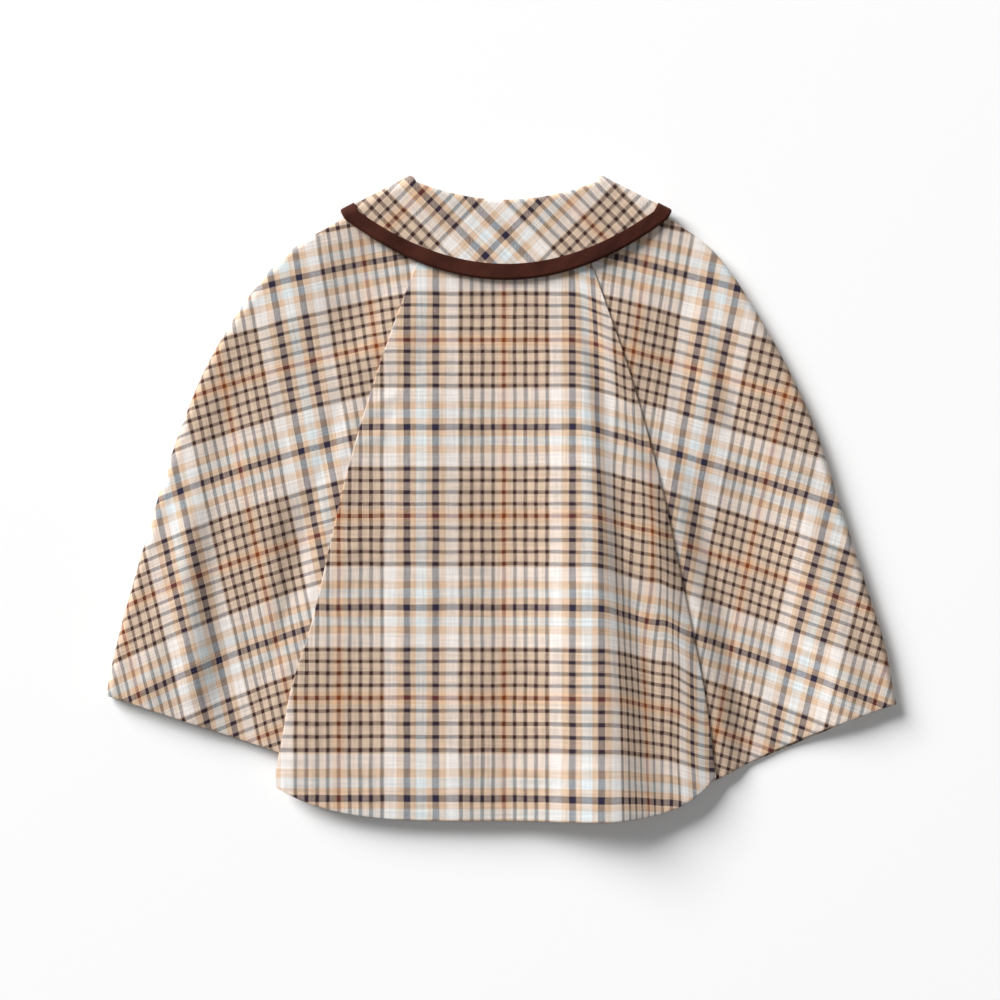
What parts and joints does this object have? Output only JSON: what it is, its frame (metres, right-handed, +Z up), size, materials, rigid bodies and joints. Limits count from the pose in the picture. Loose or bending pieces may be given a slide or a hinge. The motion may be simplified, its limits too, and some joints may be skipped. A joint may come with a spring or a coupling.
{
  "type": "child's cape",
  "caption": "Child's checked cape laid flat with its back up: flared centre back, wide side panels folded at the shoulders, and a round turned-down collar edged in dark brown.",
  "frame": {"origin": "centre of the laid-out cape's outline, on the surface it lies on", "axes": "+X across to the wearer's right, +Y from the hem to the neck, +Z up out of the back"},
  "size_m": [0.5393, 0.4386, 0.015],
  "materials": {
    "checked_cloth": "matt twill check in cream, tan, pale blue, navy, dark brown and rust",
    "brown_tape": "dark brown binding with a soft short nap"
  },
  "bodies": {
    "root": {"back_panel": "checked_cloth", "side_panel_left": "checked_cloth", "side_panel_right": "checked_cloth", "front_left": "checked_cloth", "front_right": "checked_cloth", "collar": "checked_cloth", "collar_binding": "brown_tape"}
  },
  "joints": []
}
